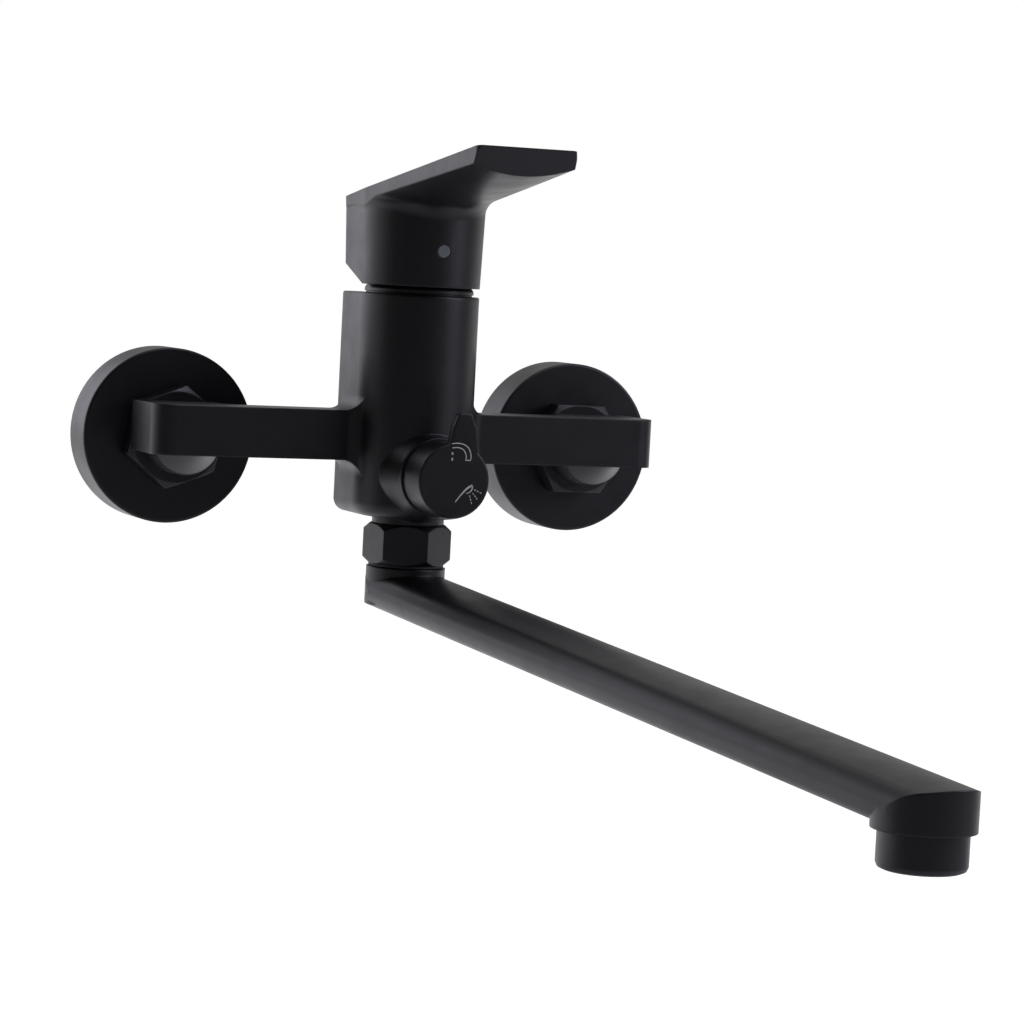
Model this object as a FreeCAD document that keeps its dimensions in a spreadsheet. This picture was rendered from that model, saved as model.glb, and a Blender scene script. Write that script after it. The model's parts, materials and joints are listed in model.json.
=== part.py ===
"""Wall mounted single-lever bath and shower mixer with a long swivel spout.

Millimetres, +Z up, +X to the right along the wall, +Y into the wall. The origin lies on the finished
wall, midway between the two supply outlets that the eccentric unions screw into. Most pieces are drawn
in the mixer's own frame, whose height zero is the axis of its two inlets, and are then placed on it.
"""
import FreeCAD, Part
import math
import os
import re
import Sketcher
from FreeCAD import Placement, Rotation, Vector

SIZES = {
    # wall, supply and column
    "inlet_spacing": 150.0,
    "inlet_rise": 8.0,
    "column_out": 52.7,
    # round wall covers
    "cover_radius": 30.0,
    "cover_depth": 17.0,
    "cover_wall": 1.2,
    # eccentric unions: half-inch pipe thread into the wall, three-quarter-inch towards the mixer
    "wall_thread_radius": 10.48,
    "wall_thread_length": 15.0,
    "union_thread_radius": 13.2,
    "union_thread_end": 20.4,
    "union_thread_start": 9.0,
    "offset_block_end": 3.0,
    "offset_block_radius": 12.0,
    "union_bore": 6.5,
    # union nuts and the inlet tails they pull in
    "union_nut_flats": 31.0,
    "union_nut_back": 17.1,
    "union_nut_front": 26.5,
    "union_nut_lip": 2.0,
    "tail_radius": 8.8,
    "tail_flange_radius": 12.9,
    "tail_flange": 2.0,
    "tail_inner_end": 33.0,
    "tail_bore": 6.5,
    "gasket_bore": 7.0,
    # mixer body
    "body_radius": 20.5,
    "body_back": 23.0,
    "body_top": 52.4,
    "body_bottom": -23.0,
    "arm_front": 2.3,
    "arm_back": 13.7,
    "arm_top": 12.4,
    "arm_bottom": -4.4,
    "arm_end": 91.2,
    "leg_inner": 62.8,
    "inlet_boss_radius": 12.2,
    "inlet_boss_start": 15.0,
    "inlet_cone_tip": 3.9,
    "collar_radius": 12.3,
    "collar_height": 2.5,
    "nipple_radius": 10.4,
    "nipple_end": -34.0,
    "spout_bore": 8.4,
    # cartridge
    "cartridge_floor": 21.0,
    "cartridge_radius": 17.5,
    "cartridge_shoulder": 44.0,
    "cartridge_top": 50.8,
    "cartridge_neck": 14.2,
    "cartridge_inner": 15.2,
    "clamp_radius": 18.1,
    "clamp_top": 50.6,
    "clamp_collar_radius": 15.5,
    "clamp_collar_top": 54.6,
    "fixed_disc_bottom": 29.4,
    "fixed_disc_top": 32.4,
    "moving_disc_radius": 11.0,
    "moving_disc_thickness": 3.0,
    "ceiling": 43.0,
    "guide_radius": 12.0,
    "pivot_height": 47.0,
    "pivot_radius": 1.5,
    "stem_arm": 7.0,
    "stem_width": 8.0,
    "stem_top": 78.5,
    "ball_radius": 2.8,
    # dome cap under the handle
    "ring_radius": 18.5,
    "ring_inner": 15.7,
    "ring_shoulder": 54.0,
    "dome_top": 57.6,
    "dome_hole": 10.8,
    # lever handle
    "handle_bottom": 55.2,
    "handle_radius": 20.5,
    "handle_back": 17.2,
    "handle_flare": 1.5,
    "handle_wall": 1.8,
    "handle_roof": 77.0,
    "hub_radius": 7.4,
    "hub_bottom": 63.5,
    "lever_tip": 88.5,
    "lever_tip_height": 100.8,
    "lever_heel_height": 84.5,
    "lever_heel": 18.2,
    "lever_tip_width": 34.4,
    "lever_heel_width": 43.0,
    "lever_edge": 5.4,
    "lever_crown": 2.8,
    "lever_blend": 5.6,
    "screw_height": 67.4,
    "screw_radius": 2.0,
    "plug_radius": 2.2,
    # diverter on the front of the body
    "diverter_height": -8.0,
    "diverter_boss_radius": 13.2,
    "diverter_boss_front": 25.5,
    "diverter_floor": 8.0,
    "diverter_bore": 11.0,
    "spindle_chamber": 8.0,
    "spindle_shoulder": 20.0,
    "rotor_thickness": 2.4,
    "diverter_port": 2.4,
    "diverter_port_out": 5.0,
    "knob_radius": 12.5,
    "knob_back": 25.9,
    "knob_face": 40.3,
    "tab_length": 22.4,
    "shaft_radius": 4.5,
    "shaft_tip_radius": 3.5,
    "shaft_end": 36.0,
    "knob_hub_radius": 6.0,
    "knob_hub_front": 35.0,
    "knob_screw_out": 31.0,
    "knob_screw_radius": 1.5,
    # spout
    "spout_swing": 7.0,
    "spout_slope": 4.8,
    "spout_reach": 296.4,
    "spout_width": 28.8,
    "spout_depth": 14.8,
    "spout_wall": 1.6,
    "spout_axis_height": -48.7,
    "spout_collar_radius": 13.5,
    "spout_collar_top": -40.3,
    "spout_collar_bottom": -53.2,
    "tail_flange_bottom": -35.9,
    "spout_tail_neck": 9.4,
    "spout_tail_flange": 10.2,
    "spout_tail_shoulder": -34.4,
    "spout_tail_radius": 8.33,
    "spout_tail_top": -24.6,
    "o_ring_groove": 6.9,
    "o_ring_low": -32.0,
    "o_ring_high": -28.0,
    "o_ring_height": 2.0,
    "outlet_bottom": -80.0,
    "spout_nut_flats": 26.0,
    "spout_nut_top": -25.6,
    "spout_nut_bottom": -39.3,
    "spout_nut_rim": 2.0,
    "spout_nut_bore": 9.7,
    "spout_nut_turn": 37.0,
    "glide_ring_radius": 12.8,
    "glide_ring_bottom": -40.0,
    "aerator_radius": 12.5,
    "aerator_bottom": -90.9,
    "aerator_thread_radius": 10.9,
    "aerator_seat": -74.0,
    "aerator_core": 9.5,
    "aerator_core_bottom": -88.5,
    "aerator_hole": 1.2,
    "aerator_hole_ring": 6.2,
    # shower outlet behind the body
    "shower_out": 35.7,
    "shower_bottom": -20.5,
    "shower_boss_bottom": -11.0,
    "shower_boss_top": 8.0,
    "shower_boss_radius": 11.5,
    "shower_thread_radius": 10.45,
    "shower_bore": 6.5,
    "shower_thread_wall": 2.2,
    "shower_nipple_top": -6.5,
    "shower_seal_top": -5.0,
    # waterways drilled in the casting
    "cold_port_across": 7.4,
    "port_back": 5.7,
    "mixed_port_front": -10.0,
    "arm_water_height": 3.5,
    "arm_water_radius": 5.0,
    "inlet_water_radius": 3.6,
    # working gap between pieces that move past each other
    "running_gap": 0.06,
}

doc = FreeCAD.newDocument("bath_mixer")
sheet = doc.addObject("Spreadsheet::Sheet", "Sizes")
for row, (alias, size) in enumerate(SIZES.items(), start=1):
    sheet.set(f"A{row}", alias)
    sheet.set(f"B{row}", str(size))
    sheet.setAlias(f"B{row}", alias)
doc.recompute()

NODES = {}


# ---------------------------------------------------------------- formulas

def formula(text):
    """Sheet formula for a text such as 'body_top - 3', whose words are aliases."""
    return re.sub(r"[a-z][a-z_]+", lambda word: qualified(word.group()), str(text))


def qualified(word):
    return f"Sizes.{word}" if word in SIZES else word


def value(text):
    """Number that a formula gives."""
    return float(sheet.evalExpression(formula(text)))


def bind(item, **formulas):
    for name, text in formulas.items():
        item.setExpression(name.replace("__", "."), formula(text))


# ---------------------------------------------------------------- sketches and solids

def new_body(name):
    return doc.addObject("PartDesign::Body", name)


def new_sketch(body, plane, lift="0"):
    """Empty sketch on one of the body's origin planes, raised along the plane's normal."""
    sketch = body.newObject("Sketcher::SketchObject", "sketch")
    support = [item for item in body.Origin.OriginFeatures if item.Role == plane][0]
    sketch.AttachmentSupport = (support, [""])
    sketch.MapMode = "FlatFace"
    bind(sketch, AttachmentOffset__Base__z=lift)
    return sketch


def pin_point(sketch, line, end, x, y):
    """Hold one end of a line at a place given by two formulas."""
    for kind, text in (("DistanceX", x), ("DistanceY", y)):
        rule = sketch.addConstraint(Sketcher.Constraint(kind, -1, 1, line, end, value(text)))
        bind(sketch, **{f"Constraints[{rule}]": text})


def draw_polygon(sketch, corners):
    """Closed outline of straight lines through corners given as pairs of formulas."""
    places = [Vector(value(x), value(y), 0) for x, y in corners]
    count = len(corners)
    lines = [sketch.addGeometry(Part.LineSegment(places[i], places[(i + 1) % count])) for i in range(count)]
    for i in range(count):
        sketch.addConstraint(Sketcher.Constraint("Coincident", lines[i], 2, lines[(i + 1) % count], 1))
        pin_point(sketch, lines[i], 1, *corners[i])


def draw_circle(sketch, x, y, radius):
    centre = Vector(value(x), value(y), 0)
    circle = sketch.addGeometry(Part.Circle(centre, Vector(0, 0, 1), value(radius)))
    pin_point(sketch, circle, 3, x, y)
    rule = sketch.addConstraint(Sketcher.Constraint("Radius", circle, value(radius)))
    bind(sketch, **{f"Constraints[{rule}]": radius})


def draw_d(sketch, radius, back):
    """Outline with a half-round front and a straight back, seen from above."""
    r, b = value(radius), value(back)
    circle = Part.Circle(Vector(), Vector(0, 0, 1), r)
    arc = sketch.addGeometry(Part.ArcOfCircle(circle, math.pi, 2 * math.pi))
    corners = [Vector(r, 0, 0), Vector(r, b, 0), Vector(-r, b, 0), Vector(-r, 0, 0)]
    lines = [sketch.addGeometry(Part.LineSegment(a, c)) for a, c in zip(corners, corners[1:])]
    pin_point(sketch, arc, 3, "0", "0")
    pin_point(sketch, lines[1], 1, radius, back)
    pin_point(sketch, lines[1], 2, f"-({radius})", back)
    for first, second in ((arc, lines[0]), (lines[0], lines[1]), (lines[1], lines[2]), (lines[2], arc)):
        sketch.addConstraint(Sketcher.Constraint("Coincident", first, 2, second, 1))
    pin_point(sketch, arc, 2, radius, "0")
    sketch.addConstraint(Sketcher.Constraint("Horizontal", arc, 1, arc, 2))


def pad(body, plane, draw, start, end, taper=None):
    """Solid between two heights above a plane, from an outline that draw() puts in a sketch."""
    sketch = new_sketch(body, plane, start)
    draw(sketch)
    feature = body.newObject("PartDesign::Pad", "pad")
    feature.Profile = sketch
    bind(feature, Length=f"({end}) - ({start})")
    if taper:
        bind(feature, TaperAngle=taper)
    return feature


def turned(name, profile):
    """Body of revolution about Z from a profile of (radius, height) formulas."""
    body = new_body(name)
    sketch = new_sketch(body, "XZ_Plane")
    draw_polygon(sketch, profile)
    feature = body.newObject("PartDesign::Revolution", "revolution")
    feature.Profile = sketch
    feature.ReferenceAxis = (sketch, ["V_Axis"])
    feature.Angle = 360
    return body


def sleeve(name, outer, inner, bottom, top):
    """Plain ring or tube."""
    return turned(name, [(inner, bottom), (outer, bottom), (outer, top), (inner, top)])


def solid_rod(name, radius, bottom, top, chamfer):
    """Pin or plug with both ends chamfered."""
    return turned(name, [("0", bottom), (f"{radius} - {chamfer}", bottom), (radius, f"{bottom} + {chamfer}"),
                         (radius, f"{top} - {chamfer}"), (f"{radius} - {chamfer}", top), ("0", top)])


def round_edges(body, radius, wanted, kind="Fillet"):
    """Round or chamfer every edge of the body's last feature that wanted() accepts."""
    doc.recompute()
    base = body.Tip
    names = [f"Edge{i}" for i, edge in enumerate(base.Shape.Edges, start=1) if wanted(edge)]
    feature = body.newObject(f"PartDesign::{kind}", kind.lower())
    feature.Base = (base, names)
    bind(feature, **{"Radius" if kind == "Fillet" else "Size": radius})
    doc.recompute()
    return feature


def primitive(kind, name, place, rotation, **formulas):
    item = doc.addObject(f"Part::{kind}", name)
    item.Placement = Placement(Vector(), rotation)
    bind(item, **formulas)
    for letter, text in zip("xyz", place):
        bind(item, **{f"Placement.Base.{letter}": text})
    return item


UPRIGHT = Rotation()
OUTWARD = Rotation(Vector(1, 0, 0), 90)
SIDEWAYS = Rotation(Vector(0, 1, 0), 90)


def rod(radius, length, place, rotation=UPRIGHT):
    """Cylinder that starts at a place and runs up, out from the wall or to the right."""
    return primitive("Cylinder", "rod", place, rotation, Radius=radius, Height=length)


def block(length, width, height, place):
    return primitive("Box", "block", place, UPRIGHT, Length=length, Width=width, Height=height)


def joined(name, parts):
    item = doc.addObject("Part::MultiFuse", name)
    item.Shapes = parts
    item.Refine = False
    return item


def cut(name, base, tools):
    """Take the tools away from a piece one after another."""
    for tool in tools:
        item = doc.addObject("Part::Cut", name)
        item.Base = base
        item.Tool = tool
        item.Refine = False
        base = item
    return base


def common(name, first, second, refine=True):
    item = doc.addObject("Part::Common", name)
    item.Base = first
    item.Tool = second
    item.Refine = refine
    return item


def filleted(name, base, radius, wanted):
    """Round every edge of a fused piece that wanted() accepts."""
    doc.recompute()
    item = doc.addObject("Part::Fillet", name)
    item.Base = base
    size = value(radius)
    item.Edges = [(i, size, size) for i, edge in enumerate(base.Shape.Edges, start=1) if wanted(edge)]
    return item


def hex_piece(name, flats, profile, turn=0):
    """Turned profile trimmed by a hexagon measured across its flats."""
    heights = [value(height) for radius, height in profile]
    prism = doc.addObject("Part::Prism", name + "_hexagon")
    prism.Polygon = 6
    prism.Placement = Placement(Vector(0, 0, min(heights)), Rotation(Vector(0, 0, 1), turn))
    bind(prism, Circumradius=f"({flats}) / sqrt(3)")
    prism.Height = max(heights) - min(heights)
    return common(name, prism, turned(name + "_turning", profile))


def node(label, item, x="0", y="0", z="0", rotation=UPRIGHT):
    """Name a finished piece and put it in the row's frame."""
    item.Label = label
    item.Placement = Placement(Vector(), rotation)
    for letter, text in zip("xyz", (x, y, z)):
        bind(item, **{f"Placement.Base.{letter}": text})
    NODES[label] = item


def on_column(label, item, rotation=UPRIGHT, lift="0"):
    """Place a piece drawn about the column's axis, or about an axis square to it at some height."""
    node(label, item, "0", "-column_out", f"inlet_rise + {lift}", rotation)


def on_inlet(label, item, side):
    """Place a piece drawn about one inlet's axis, its height measured out from the wall."""
    node(label, item, f"{side}inlet_spacing / 2", "0", "inlet_rise", OUTWARD)


# ---------------------------------------------------------------- mixer body

def straight_edge(edge, axis):
    """True for a straight edge that runs along x, y or z (0, 1 or 2)."""
    if len(edge.Vertexes) != 2 or edge.Length == 0:
        return False
    first, last = (corner.Point for corner in edge.Vertexes)
    if abs(first.distanceToPoint(last) - edge.Length) > 1e-6:
        return False
    return abs(abs((last - first)[axis]) - edge.Length) < 1e-6


def near(number, text, room=0.05):
    return abs(number - value(text)) < room


def make_mixer_body():
    """One casting: column, two arms with legs to the wall, diverter boss, spout nipple, shower outlet."""
    body = new_body("body_casting")
    leg_end = "column_out - union_nut_front"
    pad(body, "XY_Plane", lambda s: draw_d(s, "body_radius", "body_back"), "body_bottom", "body_top")
    arms = [("-arm_end", "-arm_front"), ("arm_end", "-arm_front"), ("arm_end", leg_end),
            ("leg_inner", leg_end), ("leg_inner", "arm_back"), ("-leg_inner", "arm_back"),
            ("-leg_inner", leg_end), ("-arm_end", leg_end)]
    pad(body, "XY_Plane", lambda s: draw_polygon(s, arms), "arm_bottom", "arm_top")

    def leg_edge(edge, x, y):
        spot = edge.CenterOfMass
        return straight_edge(edge, 2) and near(abs(spot.x), x) and near(spot.y, y)

    round_edges(body, "7", lambda e: leg_edge(e, "arm_end", "-arm_front"))
    round_edges(body, "5", lambda e: leg_edge(e, "leg_inner", "arm_back"))
    for side in ("-", ""):
        place = f"{side}inlet_spacing / 2"
        pad(body, "XZ_Plane", lambda s: draw_circle(s, place, "0", "inlet_boss_radius"),
            f"-({leg_end})", "-inlet_boss_start")

    def junction_edge(edge):
        spot = edge.CenterOfMass
        beside_column = near(abs(spot.x), "body_radius", 0.5) and spot.y < value("arm_back") - 0.1
        return beside_column and value("arm_bottom") - 0.1 < spot.z < value("arm_top") + 0.1

    round_edges(body, "5", junction_edge)
    round_edges(body, "5", lambda e: straight_edge(e, 2) and near(e.CenterOfMass.y, "body_back"))
    round_edges(body, "4.5", lambda e: near(e.CenterOfMass.z, "body_bottom"))
    round_edges(body, "0.8", lambda e: near(e.CenterOfMass.z, "body_top"))

    holes = [rod("cartridge_radius + 0.1", "body_top", ("0", "0", "cartridge_floor")),
             rod("clamp_radius + 0.1", "body_top", ("0", "0", "cartridge_shoulder")),
             rod("4", "cartridge_floor", ("0", "mixed_port_front", "0")),
             rod("diverter_bore", "20", ("0", "-diverter_floor", "diverter_height"), OUTWARD),
             rod("spout_bore", "-nipple_end - 22 + 1", ("0", "0", "nipple_end - 1")),
             rod("6", "-nipple_end - 11", ("0", "0", "nipple_end")),
             rod("3", "10", ("0", "2", "-13"), OUTWARD),
             rod("3", "shower_out + diverter_floor + 1", ("0", "shower_out", "-3"), OUTWARD),
             rod("shower_bore", "8", ("0", "shower_out", "shower_boss_bottom - 1")),
             rod("shower_thread_radius - shower_thread_wall", "6", ("0", "shower_out", "shower_boss_bottom"))]
    for side in ("-", ""):
        place = f"{side}inlet_spacing / 2"
        start = "cold_port_across - 0.4" if side == "" else "-inlet_spacing / 2"
        holes += [rod("tail_radius + 0.05", "tail_inner_end - union_nut_front + 1",
                      (place, f"{leg_end} + 1", "0"), OUTWARD),
                  rod("tail_bore", f"{leg_end} - inlet_boss_start", (place, leg_end, "0"), OUTWARD),
                  rod("inlet_water_radius", "inlet_boss_start - 3",
                      (place, "inlet_boss_start + 1", "0"), OUTWARD),
                  rod("arm_water_radius", "inlet_spacing / 2 - cold_port_across + 0.4",
                      (start, "port_back", "arm_water_height"), SIDEWAYS),
                  rod("3.8", "cartridge_floor - 2", (f"{side}cold_port_across", "port_back", "3"))]
    swellings = [primitive("Cone", "inlet_cone",
                           (f"{side}inlet_spacing / 2", "inlet_boss_start + 0.5", "0"), OUTWARD,
                           Radius1="inlet_boss_radius", Radius2="inlet_cone_tip", Height="inlet_boss_start")
                 for side in ("-", "")]
    # the boss flares towards its root in steps: how much wider, and how far out
    boss_start = "5"
    flare = [("4", boss_start), ("4", "9"), ("2.6", "14"), ("1.4", "18.5"), ("0.5", "22"), ("0", "24"),
             ("0", "diverter_boss_front")]
    boss = turned("diverter_boss", [("0", boss_start)]
                  + [(f"diverter_boss_radius + {wider}", out) for wider, out in flare]
                  + [("0", "diverter_boss_front")])
    boss.Placement = Placement(Vector(), OUTWARD)
    bind(boss, Placement__Base__z="diverter_height")
    outlet = turned("shower_boss", [("0", "shower_boss_bottom"), ("shower_boss_radius", "shower_boss_bottom"),
                                    ("shower_boss_radius", "shower_boss_top - 3"),
                                    ("shower_boss_radius - 0.9", "shower_boss_top - 0.9"),
                                    ("shower_boss_radius - 3", "shower_boss_top"), ("0", "shower_boss_top")])
    bind(outlet, Placement__Base__y="shower_out")
    outlet_neck = rod("9", "shower_out - 10", ("0", "shower_out", "-2"), OUTWARD)
    nipple = turned("spout_nipple", [("0", "nipple_end"), ("nipple_radius", "nipple_end"),
                                     ("nipple_radius", "body_bottom - collar_height"),
                                     ("collar_radius", "body_bottom - collar_height"),
                                     ("collar_radius", "body_bottom + 1"), ("0", "body_bottom + 1")])
    casting = joined("mixer_casting", [body, boss, outlet, outlet_neck, nipple] + swellings)
    on_column("mixer_body", cut("mixer_body_bored", casting, holes))


# ---------------------------------------------------------------- wall side

def make_inlet(side, hand):
    """Eccentric union, its cover, and the nut, tail and gasket that join it to one inlet of the mixer."""
    drop = "-inlet_rise"
    offset_block = "union_thread_start - offset_block_end"
    union = joined(f"union_{hand}", [
        rod("union_thread_radius", "union_thread_end - union_thread_start + 1",
            ("0", "0", "union_thread_start - 1")),
        rod("offset_block_radius", offset_block, ("0", "0", "offset_block_end")),
        rod("offset_block_radius", offset_block, ("0", drop, "offset_block_end")),
        block("2 * offset_block_radius", "inlet_rise", offset_block,
              ("-offset_block_radius", drop, "offset_block_end")),
        rod("wall_thread_radius", "wall_thread_length + offset_block_end + 1",
            ("0", drop, "-wall_thread_length"))])
    waterway = [rod("union_bore", "union_thread_end", ("0", "0", "offset_block_end + 2")),
                rod("union_bore", "wall_thread_length + offset_block_end + 5",
                    ("0", drop, "-wall_thread_length - 1"))]
    on_inlet(f"eccentric_union_{hand}", cut(f"union_bored_{hand}", union, waterway), side)

    lip = "0.8"
    on_inlet(f"wall_cover_{hand}", turned(f"cover_{hand}", [
        ("union_thread_radius", "cover_depth"), (f"cover_radius - {lip}", "cover_depth"),
        (f"cover_radius - {lip} / 4", f"cover_depth - {lip} / 4"), ("cover_radius", f"cover_depth - {lip}"),
        ("cover_radius", "0"), ("cover_radius - cover_wall", "0"),
        ("cover_radius - cover_wall", "cover_depth - cover_wall"),
        ("union_thread_radius", "cover_depth - cover_wall")]), side)

    chamfer = "1.4"
    corner = "union_nut_flats / sqrt(3)"
    inner_face = "union_nut_front - union_nut_lip - 0.1"
    turn = 20 if hand == "left" else 0
    on_inlet(f"union_nut_{hand}", hex_piece(f"nut_{hand}", "union_nut_flats", [
        ("union_thread_radius", "union_nut_back"), ("union_nut_flats / 2", "union_nut_back"),
        (corner, f"union_nut_back + {chamfer}"), (corner, f"union_nut_front - {chamfer}"),
        ("union_nut_flats / 2", "union_nut_front"), ("tail_radius + 0.2", "union_nut_front"),
        ("tail_radius + 0.2", inner_face), ("union_thread_radius", inner_face)], turn), side)

    on_inlet(f"inlet_tail_{hand}", turned(f"tail_{hand}", [
        ("tail_bore", f"{inner_face} - tail_flange"), ("tail_flange_radius", f"{inner_face} - tail_flange"),
        ("tail_flange_radius", inner_face), ("tail_radius", inner_face),
        ("tail_radius", "tail_inner_end"), ("tail_bore", "tail_inner_end")]), side)
    on_inlet(f"inlet_gasket_{hand}", sleeve(f"gasket_{hand}", "tail_flange_radius", "gasket_bore",
                                            "union_thread_end", f"{inner_face} - tail_flange"), side)


# ---------------------------------------------------------------- cartridge

PORTS = (("cold_port_across", "port_back"), ("-cold_port_across", "port_back"), ("0", "mixed_port_front"))


def port_rods(radius, bottom, top):
    return [rod(radius, f"({top}) - ({bottom})", (x, y, bottom)) for x, y in PORTS]


def port_rings(name, outer, inner, bottom, top):
    """Three rubber rings, one about each port, as separate solids of one piece."""
    return cut(name, joined(f"{name}_outside", port_rods(outer, bottom, top)),
               port_rods(inner, f"{bottom} - 1", f"{top} + 1"))


def make_cartridge():
    """Ceramic cartridge: base, housing and fixed disc stay still, the guide turns, the stem tilts."""
    ring_height, ring_outer, ring_inner, port_radius = "1.4", "5", "3.9", "3"
    base = turned("base_turning", [
        ("0", "cartridge_floor"), ("cartridge_radius", "cartridge_floor"),
        ("cartridge_radius", "cartridge_floor + 3"), ("cartridge_inner - 0.05", "cartridge_floor + 3"),
        ("cartridge_inner - 0.05", "fixed_disc_bottom"), ("0", "fixed_disc_bottom")])
    low_top = f"cartridge_floor + {ring_height}"
    high_bottom = f"fixed_disc_bottom - {ring_height}"
    recesses = (port_rods(port_radius, "cartridge_floor - 1", "fixed_disc_bottom + 1")
                + port_rods(ring_outer, "cartridge_floor - 1", low_top)
                + port_rods(ring_outer, high_bottom, "fixed_disc_bottom + 1"))
    on_column("cartridge_base", cut("base_bored", base, recesses))
    on_column("cartridge_base_seals",
              port_rings("base_seals", ring_outer, ring_inner, "cartridge_floor", low_top))
    on_column("disc_port_seals",
              port_rings("disc_seals", ring_outer, ring_inner, high_bottom, "fixed_disc_bottom"))

    fixed = rod("cartridge_inner - 0.1", "fixed_disc_top - fixed_disc_bottom",
                ("0", "0", "fixed_disc_bottom"))
    on_column("fixed_ceramic_disc", cut("fixed_disc_bored", fixed,
                                        port_rods("2.6", "fixed_disc_bottom - 1", "fixed_disc_top + 1")))

    on_column("cartridge_housing", turned("housing", [
        ("cartridge_inner", "cartridge_floor + 3"), ("cartridge_radius", "cartridge_floor + 3"),
        ("cartridge_radius", "cartridge_shoulder"), ("cartridge_neck", "cartridge_shoulder"),
        ("cartridge_neck", "cartridge_top"), ("guide_radius + running_gap", "cartridge_top"),
        ("guide_radius + running_gap", "ceiling"), ("cartridge_inner", "ceiling")]))

    on_column("cartridge_clamp_nut", turned("clamp_nut", [
        ("cartridge_neck + 0.1", "cartridge_shoulder"), ("clamp_radius", "cartridge_shoulder"),
        ("clamp_radius", "clamp_top"), ("clamp_collar_radius", "clamp_top"),
        ("clamp_collar_radius", "clamp_collar_top"), ("cartridge_neck + 0.1", "clamp_collar_top")]))

    bottom_space, slot_half = "0.3", "stem_width / 2 + 0.3"
    guide = joined("guide_solid", [
        rod("guide_radius", "50.5 - ceiling + 1", ("0", "0", "ceiling - 1")),
        rod("cartridge_inner - 0.4", "2.1", ("0", "0", f"ceiling - {bottom_space} - 2.1")),
        block("3", "16", "5", ("-12", "-8", "36")), block("3", "16", "5", ("9", "-8", "36"))])
    slot = [block(f"2 * ({slot_half})", "14.5", "20", (f"-({slot_half})", "-7", "35")),
            rod("pivot_radius", "24", ("-12", "0", "pivot_height"), SIDEWAYS)]
    on_column("spindle_guide", cut("guide_slotted", guide, slot))
    node("pivot_pin", solid_rod("pin", "pivot_radius", "-10", "10", "0.3"), "0", "-column_out",
         "inlet_rise + pivot_height", SIDEWAYS)

    ball_height = "pivot_height - stem_arm"
    ball = primitive("Sphere", "ball", ("0", "0", ball_height), UPRIGHT, Radius="ball_radius")
    stem = joined("stem_solid", [
        block("stem_width", "stem_width", "stem_top - 43.5", ("-stem_width / 2", "-stem_width / 2", "43.5")),
        rod("2.2", f"43.5 - ({ball_height}) + 1", ("0", "0", ball_height)), ball])
    on_column("lever_stem", cut("stem_bored", stem, [rod("pivot_radius + 0.05", "20",
                                                         ("-10", "0", "pivot_height"), SIDEWAYS)]))

    disc_bottom = "fixed_disc_top + running_gap"
    disc_top = f"{disc_bottom} + moving_disc_thickness"
    disc = rod("moving_disc_radius + 1", "moving_disc_thickness", ("0", "0", disc_bottom))
    mixing_recess = rod("7", "2.8", ("0", "-3.6", f"{disc_bottom} - 1"))
    on_column("moving_ceramic_disc", cut("moving_disc_recessed", disc, [mixing_recess]))
    carrier = block("17.4", "16", f"40.2 - ({disc_top})", ("-8.7", "-8", disc_top))
    ball_seat = rod("ball_radius + 0.3", "5", ("0", "0", "36.8"))
    on_column("disc_carrier", cut("carrier_bored", carrier, [ball_seat]))


def make_dome_cap():
    """Cap screwed over the clamp nut, seen as a thin ring under the handle."""
    on_column("dome_cap", turned("dome", [
        ("ring_inner", "body_top"), ("ring_radius - 0.5", "body_top"),
        ("ring_radius - 0.5", "body_top + 0.6"), ("ring_radius", "body_top + 0.6"),
        ("ring_radius", "ring_shoulder"), ("ring_radius - 0.5", "ring_shoulder + 0.9"),
        ("17", "55.6"), ("14.5", "56.9"), ("dome_hole", "dome_top"), ("dome_hole", "dome_top - 1.6"),
        ("13.6", "54.9"), ("ring_inner", "54.7")]))


# ---------------------------------------------------------------- lever handle

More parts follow.
